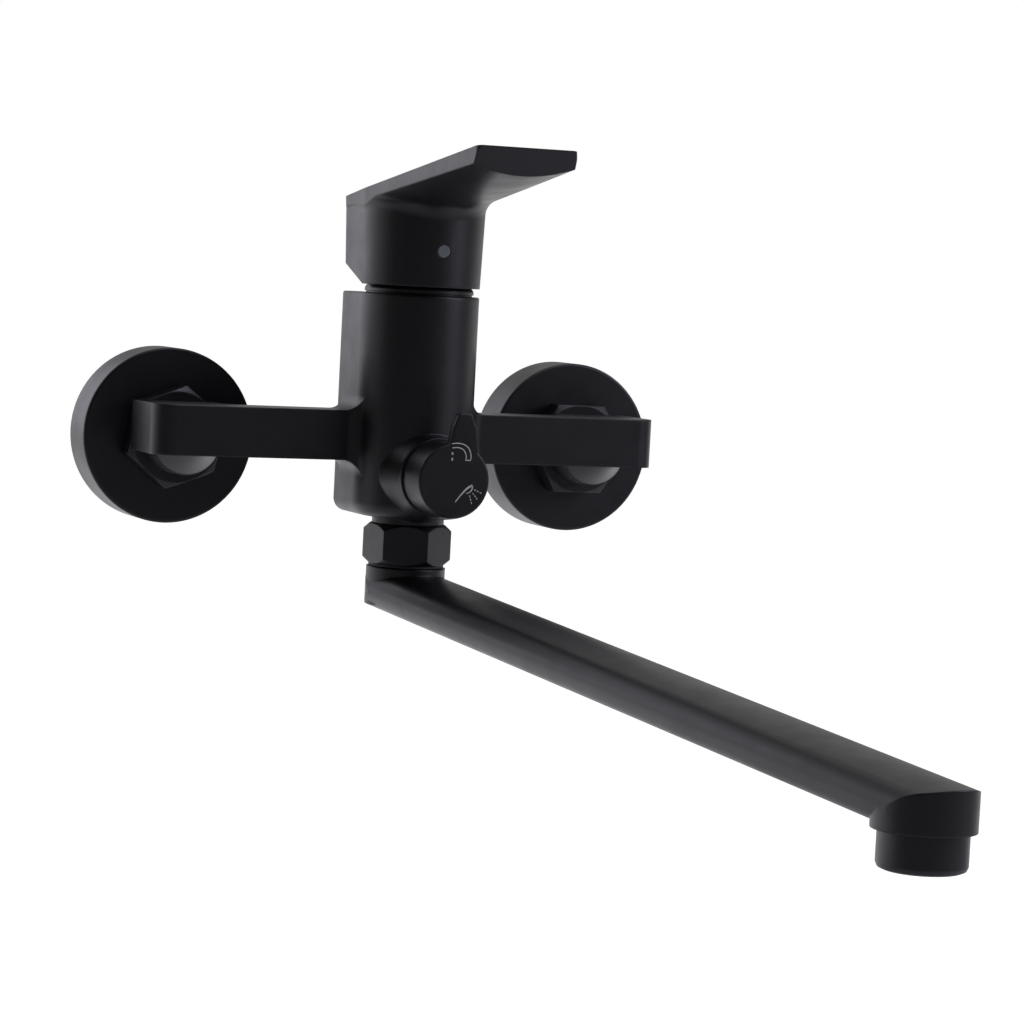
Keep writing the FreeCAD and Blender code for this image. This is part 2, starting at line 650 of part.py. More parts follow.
def make_handle():
    """Hollow cap with a long flat lever, a socket for the stem and a grub screw behind a small plug."""
    rise = math.degrees(math.atan2(value("lever_tip_height - lever_heel_height"),
                                   value("lever_tip + lever_heel")))
    climb = Rotation(Vector(1, 0, 0), -rise)
    reach = "sqrt((lever_tip + lever_heel)^2 + (lever_tip_height - lever_heel_height)^2)"
    thickness = "lever_edge + lever_crown"
    spare = "3"

    def on_slope(item):
        item.Placement = Placement(Vector(), climb)
        bind(item, Placement__Base__y="lever_heel", Placement__Base__z="lever_heel_height")
        return item

    slab = new_body("slab")
    beyond_tip, side_out, behind_heel = f"-({reach}) - {spare}", "38", "25"
    wide = [(f"-{side_out}", behind_heel), (f"-{side_out}", beyond_tip),
            (side_out, beyond_tip), (side_out, behind_heel)]
    pad(slab, "XY_Plane", lambda s: draw_polygon(s, wide), f"-({thickness})", "4")
    belly_radius = "lever_tip_width^2 / (8 * lever_crown) + lever_crown / 2"
    belly = rod(belly_radius, f"{reach} + 60", ("0", "40", f"{belly_radius} - ({thickness})"), OUTWARD)
    crowned = on_slope(cut("slab_undercut", common("slab_crowned", slab, belly), [tip_wedge(reach)]))
    widening = math.tan(math.radians(value("handle_flare")))
    cap = primitive("Cone", "cap_round", ("0", "0", "handle_bottom"), UPRIGHT, Radius1="handle_radius",
                    Radius2=f"handle_radius + (lever_tip_height - handle_bottom) * {widening:.5f}",
                    Height="lever_tip_height - handle_bottom")

    ahead = 200
    above = primitive("Box", "above", ("0", "0", "0"), climb, Length="120", Width="240", Height="60")
    bind(above, Placement__Base__x="-60", Placement__Base__y=f"lever_heel - {ahead}",
         Placement__Base__z=f"lever_heel_height + {ahead * math.tan(math.radians(rise)):.4f}")

    def under_lever(edge):
        box = edge.BoundBox
        return box.ZMax < value("lever_heel_height") + 1 and box.ZMin > value("handle_bottom") + 5 \
            and edge.isClosed() and box.YMin > -value("handle_radius") - 5

    topped = cut("cap_and_slab_topped", joined("cap_and_slab", [cap, crowned]), [above])
    blended = filleted("lever_blended", topped, "lever_blend", under_lever)
    plan = new_body("lever_plan")
    heel_inset, beside_cap, plan_depth = "0.4", "(lever_heel + 0.5)", "45"
    outline = [("-lever_heel_width / 2", f"-{heel_inset}"), ("-lever_heel_width / 2", f"-{beside_cap}"),
               ("-lever_tip_width / 2", f"-{reach}"), ("lever_tip_width / 2", f"-{reach}"),
               ("lever_heel_width / 2", f"-{beside_cap}"), ("lever_heel_width / 2", f"-{heel_inset}")]
    pad(plan, "XY_Plane", lambda s: draw_polygon(s, outline), f"-{plan_depth}", "10")
    round_edges(plan, "2.2", lambda e: straight_edge(e, 2) and near(e.CenterOfMass.y, f"-{reach}"))
    lever = common("lever_and_cap_front", blended, on_slope(plan), refine=False)
    back_start = "0.8"
    square_back = cut("cap_back_topped", flared_block("cap_back", "0", "handle_bottom", "lever_tip_height",
                                                      back_start), [above])

    slant = 21.5
    deep = 30
    behind = primitive("Box", "behind", ("0", "0", "0"), Rotation(Vector(1, 0, 0), slant),
                       Length="80", Width="60", Height=f"{deep}")
    bind(behind, Placement__Base__x="-40",
         Placement__Base__y=f"0.5 + {deep * math.sin(math.radians(slant)):.4f}",
         Placement__Base__z=f"handle_bottom - {deep * math.cos(math.radians(slant)):.4f}")
    hollow = flared_d("hollow", "handle_wall", "handle_bottom - 1", "handle_roof")
    shell = cut("handle_shell", joined("handle_outside", [lever, square_back]), [behind, hollow])

    hub = rod("hub_radius", "handle_roof - hub_bottom + 3", ("0", "0", "hub_bottom"))
    tube = rod("4.5", "handle_radius - 4.5", ("0", "-4", "screw_height"), OUTWARD)
    socket = block("stem_width + 0.1", "stem_width + 0.1", "stem_top - hub_bottom + 1",
                   ("-stem_width / 2 - 0.05", "-stem_width / 2 - 0.05", "hub_bottom - 1"))
    bore = rod("screw_radius + 0.05", "14", ("0", "0", "screw_height"), OUTWARD)
    window = rod("plug_radius", "20", ("0", "-13", "screw_height"), OUTWARD)
    on_column("lever_handle", cut("handle_finished", joined("handle_solid", [shell, hub, tube]),
                                  [socket, bore, window]))
    screw = rod("screw_radius", "8", ("0", "-4", "screw_height"), OUTWARD)
    on_column("handle_grub_screw", cut("handle_screw", screw,
                                       [hex_socket("1.1", "3", ("0", "-9.5", "screw_height"))]))
    plug = solid_rod("index_plug", "plug_radius", "handle_radius - 2", "handle_radius + 0.5", "0.3")
    on_column("handle_index_plug", plug, OUTWARD, "screw_height")


def flared_sizes(inset, bottom):
    """Radius and back of the cap's D outline at a height, less an inset all round, and its sides' slope."""
    widening = math.tan(math.radians(value("handle_flare")))
    growth = f"(({bottom}) - handle_bottom) * {widening:.5f}"
    return f"(handle_radius - {inset} + {growth})", f"(handle_back - {inset} + {growth})", widening


def flared_block(name, inset, bottom, top, front="0"):
    """Square back half of the cap's D outline from its front plane back, which widens as it rises."""
    foot, back, widening = flared_sizes(inset, bottom)
    square_half = new_body(name)
    corners = [(f"-{foot}", front), (foot, front), (foot, back), (f"-{foot}", back)]
    pad(square_half, "XY_Plane", lambda s: draw_polygon(s, corners), bottom, top, "handle_flare")
    return square_half


def flared_d(name, inset, bottom, top):
    """Solid with the cap's whole D outline, less an inset all round, which widens as it rises."""
    foot, back, widening = flared_sizes(inset, bottom)
    height = f"(({top}) - ({bottom}))"
    round_half = primitive("Cone", name + "_round", ("0", "0", bottom), Rotation(Vector(0, 0, 1), 180),
                           Radius1=foot, Radius2=f"{foot} + {height} * {widening:.5f}",
                           Height=height, Angle="180")
    return joined(name, [round_half, flared_block(name + "_square", inset, bottom, top)])


def tip_wedge(reach):
    """Block that trims the lever's tip so that its face leans back towards the underside."""
    lean = math.radians(33)
    deep = 20
    wedge = primitive("Box", "tip_wedge", ("-30", "0", "0"), Rotation(Vector(1, 0, 0), math.degrees(lean)),
                      Length="60", Width=f"{deep}", Height="40")
    bind(wedge, Placement__Base__y=f"-({reach}) - {deep * (math.cos(lean) - math.sin(lean)):.4f}",
         Placement__Base__z=f"-{deep * (math.cos(lean) + math.sin(lean)):.4f}")
    return wedge


def hex_socket(radius, depth, place):
    socket = primitive("Prism", "hex_socket", place, OUTWARD, Circumradius=radius, Height=depth)
    socket.Polygon = 6
    return socket


# ---------------------------------------------------------------- diverter

def make_diverter():
    """Ceramic diverter in the boss on the front: a sleeve and fixed disc, and a knob on a turning spindle."""
    lift = "diverter_height"
    seal_end, disc_end = "diverter_floor + 1.2", "diverter_floor + 3.2"
    sleeve_end = "diverter_boss_front - 0.2"
    place_out = dict(rotation=OUTWARD, lift=lift)
    seal = sleeve("face_seal", "diverter_bore - 0.2", "spindle_chamber + 0.8", "diverter_floor", seal_end)
    on_column("diverter_face_seal", seal, **place_out)
    disc = rod("diverter_bore - 0.2", "2", ("0", "0", seal_end))
    ports = [rod("diverter_port", "4", ("0", f"{side}diverter_port_out", "diverter_floor"))
             for side in ("-", "")]
    on_column("diverter_fixed_disc", cut("diverter_disc_bored", disc, ports), **place_out)
    spindle_radius = "spindle_chamber - running_gap"
    barrel = turned("barrel", [
        ("spindle_chamber", disc_end), ("diverter_bore - 0.1", disc_end), ("diverter_bore - 0.1", sleeve_end),
        ("shaft_radius + running_gap", sleeve_end), ("shaft_radius + running_gap", "spindle_shoulder"),
        ("spindle_chamber", "spindle_shoulder")])
    window = rod("diverter_port", "14", ("0", "0", f"{disc_end} + 2.6"), Rotation(Vector(1, 0, 0), -90))
    on_column("diverter_sleeve", cut("barrel_windowed", barrel, [window]), **place_out)
    rotor_start = f"{disc_end} + running_gap"
    rotor_end = f"{rotor_start} + rotor_thickness"
    rotor = rod(spindle_radius, "rotor_thickness", ("0", "0", rotor_start))
    rotor_port = rod("diverter_port", "5", ("0", "diverter_port_out", f"{disc_end} - 1"))
    on_column("diverter_rotating_disc", cut("rotor_ported", rotor, [rotor_port]), **place_out)
    groove_start, groove_end, groove_radius = "22", "23.8", "3.3"
    on_column("diverter_spindle", turned("spindle", [
        ("0", rotor_end), (spindle_radius, rotor_end), (spindle_radius, "spindle_shoulder - 0.2"),
        ("shaft_radius", "spindle_shoulder - 0.2"), ("shaft_radius", groove_start),
        (groove_radius, groove_start), (groove_radius, groove_end), ("shaft_radius", groove_end),
        ("shaft_radius", "knob_back - 0.3"), ("shaft_tip_radius", "knob_back - 0.3"),
        ("shaft_tip_radius", "shaft_end"), ("0", "shaft_end")]), **place_out)
    shaft_ring = sleeve("o_ring", "shaft_radius + 0.03", groove_radius, groove_start, groove_end)
    on_column("diverter_o_ring", shaft_ring, **place_out)

    knob = new_body("knob_head")
    pad(knob, "XY_Plane", lambda s: draw_circle(s, "0", "0", "knob_radius"), "knob_back", "knob_face")
    round_edges(knob, "0.7", lambda e: near(e.CenterOfMass.z, "knob_face"))
    tab = new_body("knob_tab")
    # the tab narrows outwards: half its width at its root, at its waist and at its end
    middle, root, waist, end = "3", "5.4", "4.1", "2.3"
    root_out, waist_out = "9.5", "17.8"
    outline = [(f"{middle} - {root}", root_out), (f"{middle} + {root}", root_out),
               (f"{middle} + {waist}", waist_out), (f"{middle} + {end}", "tab_length"),
               (f"{middle} - {end}", "tab_length"), (f"{middle} - {waist}", waist_out)]
    pad(tab, "XY_Plane", lambda s: draw_polygon(s, outline), "knob_face - 3", "knob_face")
    round_edges(tab, "1.2", lambda e: straight_edge(e, 2) and near(e.CenterOfMass.y, "tab_length"))
    round_edges(tab, "0.5", lambda e: near(e.CenterOfMass.z, "knob_face")
                and e.CenterOfMass.y > value("knob_radius"))
    hollow = rod("knob_radius - 2", "knob_hub_front - knob_back + 1", ("0", "0", "knob_back - 1"))
    hub = rod("knob_hub_radius", "knob_hub_front - knob_back", ("0", "0", "knob_back + 1"))
    socket = rod("shaft_tip_radius + 0.05", "shaft_end + 0.2 - knob_back", ("0", "0", "knob_back"))
    down = Rotation(Vector(1, 0, 0), 90)
    access = rod("knob_screw_radius", "20", ("0", "-3", "knob_screw_out"), down)
    shell = cut("knob_shell", joined("knob_outside", [knob, tab]), [hollow])
    on_column("diverter_knob", cut("knob_finished", joined("knob_solid", [shell, hub]), [socket, access]),
              **place_out)
    screw = solid_rod("knob_screw", "knob_screw_radius", "shaft_tip_radius", "knob_hub_radius + 0.3", "0.2")
    node("diverter_grub_screw", screw, "0", "-column_out - knob_screw_out",
         "inlet_rise + diverter_height", Rotation(Vector(1, 0, 0), 180))


# ---------------------------------------------------------------- spout

TURNED_OUT = Rotation(Vector(0, 0, 1), value("spout_swing"))


def draw_oval(sketch, half_width, half_depth):
    """Smooth oval of four arcs: two tight ones at the sides and two wide ones above and below."""
    wide, deep = f"({half_width})", f"({half_depth})"
    tight = f"(0.84 * {deep})"
    reach = f"({wide} - {tight})"
    large = f"(({reach}^2 + {deep}^2 - {tight}^2) / (2 * ({deep} - {tight})))"
    drop = f"({large} - {deep})"
    meet_x = f"({large} * {reach} / ({large} - {tight}))"
    meet_y = f"({drop} * {tight} / ({large} - {tight}))"
    x, y = value(meet_x), value(meet_y)
    places = [(x, -y), (x, y), (-x, y), (-x, -y)]
    centres = [(reach, "0"), ("0", f"-{drop}"), (f"-{reach}", "0"), ("0", drop)]
    arcs = []
    for i, (across, up) in enumerate(centres):
        centre = Vector(value(across), value(up), 0)
        first, last = (Vector(*places[(i + k) % 4], 0) - centre for k in (0, 1))
        start, end = math.atan2(first.y, first.x), math.atan2(last.y, last.x)
        circle = Part.Circle(centre, Vector(0, 0, 1), first.Length)
        end = end if end > start else end + 2 * math.pi
        arcs.append(sketch.addGeometry(Part.ArcOfCircle(circle, start, end)))
        pin_point(sketch, arcs[i], 3, across, up)
    pin_point(sketch, arcs[0], 1, meet_x, f"-{meet_y}")
    for i in range(3):
        sketch.addConstraint(Sketcher.Constraint("Coincident", arcs[i], 2, arcs[i + 1], 1))
    for i in range(4):
        direction = "Vertical" if i % 2 == 0 else "Horizontal"
        sketch.addConstraint(Sketcher.Constraint(direction, arcs[i], 1, arcs[i], 2))


def spout_frame(item, label):
    on_column(label, item, TURNED_OUT)


def make_spout():
    """Swivel spout: tail and collar, sloping flat tube with half-round ends, outlet with its aerator."""
    outside = tube_solid("tube_outside", "spout_width / 2", "spout_depth / 2", "-2")
    inside = tube_solid("tube_inside", "spout_width / 2 - spout_wall",
                        "spout_depth / 2 - 1.5 * spout_wall", "-10")
    grooves = []
    for ring_bottom in ("o_ring_low", "o_ring_high"):
        ring_top = f"{ring_bottom} + o_ring_height"
        grooves += [("spout_tail_radius", ring_bottom), ("o_ring_groove", ring_bottom),
                    ("o_ring_groove", ring_top), ("spout_tail_radius", ring_top)]
    tail = turned("spout_tail", [
        ("0", "spout_collar_bottom"), ("spout_collar_radius", "spout_collar_bottom"),
        ("spout_collar_radius", "spout_collar_top"), ("spout_tail_neck", "spout_collar_top"),
        ("spout_tail_neck", "tail_flange_bottom"), ("spout_tail_flange", "tail_flange_bottom"),
        ("spout_tail_flange", "spout_tail_shoulder"), ("spout_tail_radius", "spout_tail_shoulder")]
        + grooves + [("spout_tail_radius", "spout_tail_top"), ("0", "spout_tail_top")])
    outlet = rod("spout_width / 2 + 0.1", "6", ("0", "-spout_reach", "outlet_bottom"))
    landing = rod("spout_width / 2 + 0.6", "10", ("0", "0", "spout_collar_top"))
    below = block("60", "400", "20", ("-30", "-380", "outlet_bottom - 20"))
    trimmed = cut("tube_trimmed", joined("tube_and_outlet", [outside, outlet]), [landing, below])
    solid = joined("spout_solid", [trimmed, tail])
    bores = [inside, rod("5", "30", ("0", "0", "-50")),
             rod("aerator_thread_radius", "10", ("0", "-spout_reach", "outlet_bottom"))]
    spout_frame(cut("spout_hollow", solid, bores), "spout_tube")

    rings = joined("o_rings", [
        sleeve(ring_name, "spout_tail_radius + 0.03", "o_ring_groove", ring_bottom,
               f"{ring_bottom} + o_ring_height")
        for ring_name, ring_bottom in (("low_ring", "o_ring_low"), ("high_ring", "o_ring_high"))])
    spout_frame(rings, "spout_o_rings")
    retainer = sleeve("retaining_ring", "spout_tail_flange + 0.1", "spout_tail_neck",
                      "spout_nut_bottom + spout_nut_rim + 0.1", "tail_flange_bottom")
    spout_frame(retainer, "spout_retaining_ring")
    rim_top, corner, chamfer = "spout_nut_bottom + spout_nut_rim", "spout_nut_flats / sqrt(3)", "2"
    on_column("spout_nut", hex_piece("spout_nut", "spout_nut_flats", [
        ("nipple_radius", rim_top), ("spout_nut_bore", rim_top), ("spout_nut_bore", "spout_nut_bottom"),
        ("spout_nut_flats / 2 - 0.2", "spout_nut_bottom"), (corner, f"spout_nut_bottom + {chamfer}"),
        (corner, f"spout_nut_top - {chamfer}"), ("spout_nut_flats / 2 - 0.2", "spout_nut_top"),
        ("nipple_radius", "spout_nut_top")], value("spout_nut_turn")))
    on_column("spout_glide_ring", sleeve("glide_ring", "glide_ring_radius", "spout_nut_bore",
                                         "glide_ring_bottom", "spout_nut_bottom"))

    def at_outlet(label, item):
        swing = math.radians(value("spout_swing"))
        node(label, item, f"spout_reach * {math.sin(swing):.6f}",
             f"-column_out - spout_reach * {math.cos(swing):.6f}", "inlet_rise", TURNED_OUT)

    at_outlet("aerator_housing", turned("aerator_shell", [
        ("aerator_core", "aerator_bottom"), ("aerator_radius - 1.6", "aerator_bottom"),
        ("aerator_radius - 0.5", "aerator_bottom + 0.5"), ("aerator_radius", "aerator_bottom + 1.6"),
        ("aerator_radius", "outlet_bottom"), ("aerator_thread_radius", "outlet_bottom"),
        ("aerator_thread_radius", "aerator_seat"), ("aerator_core", "aerator_seat")]))
    insert = rod("aerator_core", "14", ("0", "0", "aerator_core_bottom"))
    hole_count = 8
    hole_places = [("0", "0")]
    for k in range(hole_count):
        turn = 2 * math.pi * k / hole_count
        hole_places.append((f"aerator_hole_ring * {math.cos(turn):.4f}",
                            f"aerator_hole_ring * {math.sin(turn):.4f}"))
    holes = [rod("aerator_hole", "16", (x, y, "aerator_core_bottom - 0.5")) for x, y in hole_places]
    at_outlet("aerator_insert", cut("insert_bored", insert, holes))
    at_outlet("aerator_washer", sleeve("washer", "aerator_thread_radius - 0.1", "8",
                                       "aerator_seat", "aerator_seat + 1.5"))


def tube_solid(name, half_width, half_depth, start):
    """Sloping tube cut off by an upright slot shape, so that both ends are half-round in plan."""
    prism = new_body(name + "_prism")
    pad(prism, "XY_Plane", lambda s: draw_oval(s, half_width, half_depth), "-30", "spout_reach + 40")
    prism.Placement = Placement(Vector(), Rotation(Vector(1, 0, 0), 90 + value("spout_slope")))
    bind(prism, Placement__Base__z="spout_axis_height")
    end_radius, foot, height = f"({half_width} + 0.1)", "-110", "80"
    slot = joined(name + "_slot", [
        rod(end_radius, height, ("0", start, foot)), rod(end_radius, height, ("0", "-spout_reach", foot)),
        block(f"2 * {end_radius}", f"spout_reach + {start}", height,
              (f"-{end_radius}", "-spout_reach", foot))])
    return common(name, prism, slot)


# ---------------------------------------------------------------- shower outlet

def make_shower_outlet():
    """Threaded nipple for the hose of a hand shower, with its sealing ring."""
    nipple = turned("hose_nipple", [
        ("shower_bore", "shower_bottom"), ("shower_thread_radius", "shower_bottom"),
        ("shower_thread_radius", "shower_boss_bottom"),
        ("shower_thread_radius - shower_thread_wall", "shower_boss_bottom"),
        ("shower_thread_radius - shower_thread_wall", "shower_nipple_top"),
        ("shower_bore", "shower_nipple_top")])
    node("shower_nipple", nipple, "0", "shower_out - column_out", "inlet_rise")
    ring = sleeve("nipple_ring", "shower_thread_radius - shower_thread_wall", "shower_bore",
                  "shower_nipple_top", "shower_seal_top")
    node("shower_nipple_seal", ring, "0", "shower_out - column_out", "inlet_rise")


make_mixer_body()
make_inlet("-", "left")
make_inlet("", "right")
make_cartridge()
make_dome_cap()
make_handle()
make_diverter()
make_spout()
make_shower_outlet()

# ---------------------------------------------------------------- check and export

doc.recompute()
faults = [f"{item.Name} {item.State}" for item in doc.Objects
          if "Invalid" in item.State or "Error" in item.State]
faults += [f"{label} has no valid shape" for label, item in NODES.items()
           if item.Shape.isNull() or not item.Shape.isValid()]
if faults:
    raise RuntimeError("; ".join(faults))
os.makedirs("parts", exist_ok=True)
for label, item in NODES.items():
    item.Shape.exportStep(f"parts/{label}.step")
print(len(NODES), "parts written")
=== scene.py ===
"""Looks for the wall mounted bath faucet: satin black coating, pictograms, threads, light and camera."""

import json
import math

import bpy
from mathutils import Matrix, Vector


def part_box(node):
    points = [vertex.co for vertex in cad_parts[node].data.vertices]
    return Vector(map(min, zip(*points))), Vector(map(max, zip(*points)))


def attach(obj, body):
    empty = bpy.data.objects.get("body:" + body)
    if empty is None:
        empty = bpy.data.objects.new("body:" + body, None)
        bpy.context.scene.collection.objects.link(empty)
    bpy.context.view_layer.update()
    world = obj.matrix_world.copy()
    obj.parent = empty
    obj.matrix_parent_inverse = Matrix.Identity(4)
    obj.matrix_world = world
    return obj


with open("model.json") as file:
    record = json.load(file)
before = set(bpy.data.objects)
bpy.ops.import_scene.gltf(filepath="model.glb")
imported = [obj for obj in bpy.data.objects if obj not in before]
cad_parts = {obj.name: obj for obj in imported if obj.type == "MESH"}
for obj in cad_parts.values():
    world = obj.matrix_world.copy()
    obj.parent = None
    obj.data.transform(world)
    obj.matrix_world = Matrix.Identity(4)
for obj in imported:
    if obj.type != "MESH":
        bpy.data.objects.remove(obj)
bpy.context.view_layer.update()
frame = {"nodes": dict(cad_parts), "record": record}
nodes = frame["nodes"]

MM = 0.001
PI = math.pi


# ---------------------------------------------------------------- node helpers

def new_material(name):
    """An empty node material: returns (material, tree, principled shader, texture position)."""
    material = bpy.data.materials.new(name)
    material.use_nodes = True
    tree = material.node_tree
    tree.nodes.clear()
    output = tree.nodes.new("ShaderNodeOutputMaterial")
    shader = tree.nodes.new("ShaderNodeBsdfPrincipled")
    tree.links.new(shader.outputs["BSDF"], output.inputs["Surface"])
    place = tree.nodes.new("ShaderNodeTexCoord")
    return material, tree, shader, place.outputs["Object"]


def noise(tree, where, scale, detail=3.0, rough=0.5):
    """The value of a noise texture with this many features per metre."""
    texture = tree.nodes.new("ShaderNodeTexNoise")
    texture.inputs["Scale"].default_value = scale
    texture.inputs["Detail"].default_value = detail
    texture.inputs["Roughness"].default_value = rough
    tree.links.new(where, texture.inputs["Vector"])
    return texture.outputs["Fac"]


def stretched(tree, where, factors):
    """Texture positions scaled by a different factor along each axis."""
    mapping = tree.nodes.new("ShaderNodeMapping")
    mapping.inputs["Scale"].default_value = factors
    tree.links.new(where, mapping.inputs["Vector"])
    return mapping.outputs["Vector"]


def spread(tree, value, low, high, start=0.3, end=0.7):
    """A 0 to 1 value carried to the range low to high."""
    node = tree.nodes.new("ShaderNodeMapRange")
    node.inputs["From Min"].default_value = start
    node.inputs["From Max"].default_value = end
    node.inputs["To Min"].default_value = low
    node.inputs["To Max"].default_value = high
    tree.links.new(value, node.inputs["Value"])
    return node.outputs["Result"]


def two_colours(tree, value, dark, light, start=0.3, end=0.7):
    """A colour that runs from dark to light with a value."""
    ramp = tree.nodes.new("ShaderNodeValToRGB")
    ramp.color_ramp.elements[0].position = start
    ramp.color_ramp.elements[1].position = end
    ramp.color_ramp.elements[0].color = (*dark, 1)
    ramp.color_ramp.elements[1].color = (*light, 1)
    tree.links.new(value, ramp.inputs["Fac"])
    return ramp.outputs["Color"]


def bump(tree, height, strength, depth, under):
    """A bump of this depth in metres, on top of another normal."""
    node = tree.nodes.new("ShaderNodeBump")
    node.inputs["Strength"].default_value = strength
    node.inputs["Distance"].default_value = depth
    tree.links.new(height, node.inputs["Height"])
    tree.links.new(under, node.inputs["Normal"])
    return node.outputs["Normal"]


def soft_edges(tree, radius):
    """A normal that rounds sharp edges by this radius in metres."""
    node = tree.nodes.new("ShaderNodeBevel")
    node.samples = BEVEL_SAMPLES
    node.inputs["Radius"].default_value = radius
    return node.outputs["Normal"]


# ---------------------------------------------------------------- materials

# bump depths and edge radii in metres
PEEL_DEPTH = 0.00004
SKIN_DEPTH = 0.00003
TURNING_DEPTH = 0.00003
PLASTIC_EDGE = 0.00015
TURNED_EDGE = 0.0002
BEVEL_SAMPLES = 6


def coated_metal(name, grain, dark, light, rough_low, rough_high, metallic, edge):
    """Painted or plated metal: slight colour drift, fine orange peel and uneven gloss."""
    material, tree, shader, place = new_material(name)
    drift = noise(tree, place, 38.0, 4.0)
    fine = noise(tree, place, grain, 2.0, 0.6)
    smudge = noise(tree, place, 95.0, 6.0, 0.62)
    tree.links.new(two_colours(tree, drift, dark, light), shader.inputs["Base Color"])
    tree.links.new(spread(tree, smudge, rough_low, rough_high), shader.inputs["Roughness"])
    shader.inputs["Metallic"].default_value = metallic
    rounded = soft_edges(tree, edge)
    tree.links.new(bump(tree, fine, 0.22, PEEL_DEPTH, rounded), shader.inputs["Normal"])
    return material


def moulded_plastic(name, dark, light, rough_low, rough_high):
    """Moulded plastic or rubber: faint mottling and a matt, slightly uneven skin."""
    material, tree, shader, place = new_material(name)
    mottle = noise(tree, place, 160.0, 5.0)
    skin = noise(tree, place, 3200.0, 2.0)
    tree.links.new(two_colours(tree, mottle, dark, light), shader.inputs["Base Color"])
    tree.links.new(spread(tree, mottle, rough_low, rough_high), shader.inputs["Roughness"])
    rounded = soft_edges(tree, PLASTIC_EDGE)
    tree.links.new(bump(tree, skin, 0.3, SKIN_DEPTH, rounded), shader.inputs["Normal"])
    return material


def turned_metal(name, dark, light, rough_low, rough_high):
    """Bare machined metal: fine turning lines around the piece and patchy dulling."""
    material, tree, shader, place = new_material(name)
    lines = noise(tree, stretched(tree, place, (0.06, 1.0, 0.06)), 5200.0, 2.0)
    patch = noise(tree, place, 240.0, 5.0)
    tree.links.new(two_colours(tree, patch, dark, light), shader.inputs["Base Color"])
    tree.links.new(spread(tree, patch, rough_low, rough_high), shader.inputs["Roughness"])
    shader.inputs["Metallic"].default_value = 1.0
    rounded = soft_edges(tree, TURNED_EDGE)
    tree.links.new(bump(tree, lines, 0.3, TURNING_DEPTH, rounded), shader.inputs["Normal"])
    return material


def calculated(tree, operation, first, second):
    """The result of a Math node; each input is a number or another node's output."""
    node = tree.nodes.new("ShaderNodeMath")
    node.operation = operation
    for socket, given in zip(node.inputs, (first, second)):
        if isinstance(given, float):
            socket.default_value = given
        else:
            tree.links.new(given, socket)
    return node.outputs["Value"]


THREAD_PITCH = 1.814 * MM
THREAD_DEPTH = 1.0 * MM
GROOVE_HALF_WIDTH = 0.46 * THREAD_PITCH
GROOVE_OVERHANG = 0.3 * MM
STEPS_PER_TURN = 40


def cut_thread(node, centre, axis, start, end, radius):
    """Cuts a screw thread's groove into a CAD node, along axis ("Y" or "Z") through centre."""
    count = int((end - start) / THREAD_PITCH * STEPS_PER_TURN) + 1
    outside = radius + GROOVE_OVERHANG
    corners = ((radius - THREAD_DEPTH, 0.0), (outside, -GROOVE_HALF_WIDTH), (outside, GROOVE_HALF_WIDTH))
    verts, faces = [], []
    for i in range(count):
        angle = 2 * PI * i / STEPS_PER_TURN
        advance = start + THREAD_PITCH * i / STEPS_PER_TURN
        for out, shift in corners:
            across, up, along = out * math.cos(angle), out * math.sin(angle), advance + shift
            spot = (across, along, up) if axis == "Y" else (across, -up, along)
            verts.append(Vector(spot) + Vector(centre))
    for i in range(count - 1):
        for k in range(3):
            a, b = 3 * i + k, 3 * i + (k + 1) % 3
            faces += [(a, b, b + 3), (a, b + 3, a + 3)]
    last = 3 * (count - 1)
    faces += [(2, 1, 0), (last, last + 1, last + 2)]
    data = bpy.data.meshes.new(f"{node}_groove")
    data.from_pydata(verts, [], faces)
    data.update()
    groove = bpy.data.objects.new(f"{node}_groove", data)
    bpy.context.scene.collection.objects.link(groove)
    groove.hide_render = True
    groove.hide_viewport = True
    cutter = nodes[node].modifiers.new("thread", "BOOLEAN")
    cutter.operation = "DIFFERENCE"
    cutter.solver = "EXACT"
    cutter.object = groove


COAT_GRAIN = 2600.0
COAT_DARK = (0.0034, 0.0032, 0.0042)
COAT_LIGHT = (0.0052, 0.0049, 0.0064)
COAT_EDGE = 0.8 * MM
FINE_EDGE = 0.25 * MM


def satin_black(name, edge):
    """Satin black powder coating with a faint violet cast."""
    coat = coated_metal(name, COAT_GRAIN, COAT_DARK, COAT_LIGHT, 0.36, 0.44, 0.0, edge)
    shader = coat.node_tree.nodes["Principled BSDF"]
    shader.inputs["Specular IOR Level"].default_value = 0.5
    shader.inputs["Specular Tint"].default_value = (0.97, 0.94, 1.0, 1)
    return coat


SLOTS = {
    "black_finish": satin_black("satin_black_coating", COAT_EDGE),
    "bare_brass": turned_metal("bare_brass", (0.62, 0.42, 0.16), (0.74, 0.54, 0.25), 0.24, 0.4),
    "plain_steel": turned_metal("plain_steel", (0.42, 0.42, 0.43), (0.56, 0.56, 0.57), 0.22, 0.36),
    "seal_rubber": moulded_plastic("seal_rubber", (0.012, 0.012, 0.013), (0.022, 0.022, 0.023), 0.55, 0.72),
    "cartridge_plastic": moulded_plastic("cartridge_plastic", (0.55, 0.54, 0.5), (0.64, 0.63, 0.6),
                                         0.4, 0.52),
    "guide_plastic": moulded_plastic("guide_plastic", (0.56, 0.56, 0.54), (0.64, 0.64, 0.62), 0.38, 0.5),
    "aerator_plastic": moulded_plastic("aerator_plastic", (0.045, 0.046, 0.05), (0.06, 0.061, 0.066),
                                       0.34, 0.46),
    "grey_plug": moulded_plastic("grey_plug", (0.15, 0.165, 0.19), (0.19, 0.205, 0.23), 0.42, 0.55),
    "disc_ceramic": moulded_plastic("disc_ceramic", (0.7, 0.69, 0.66), (0.78, 0.77, 0.75), 0.12, 0.2),
}
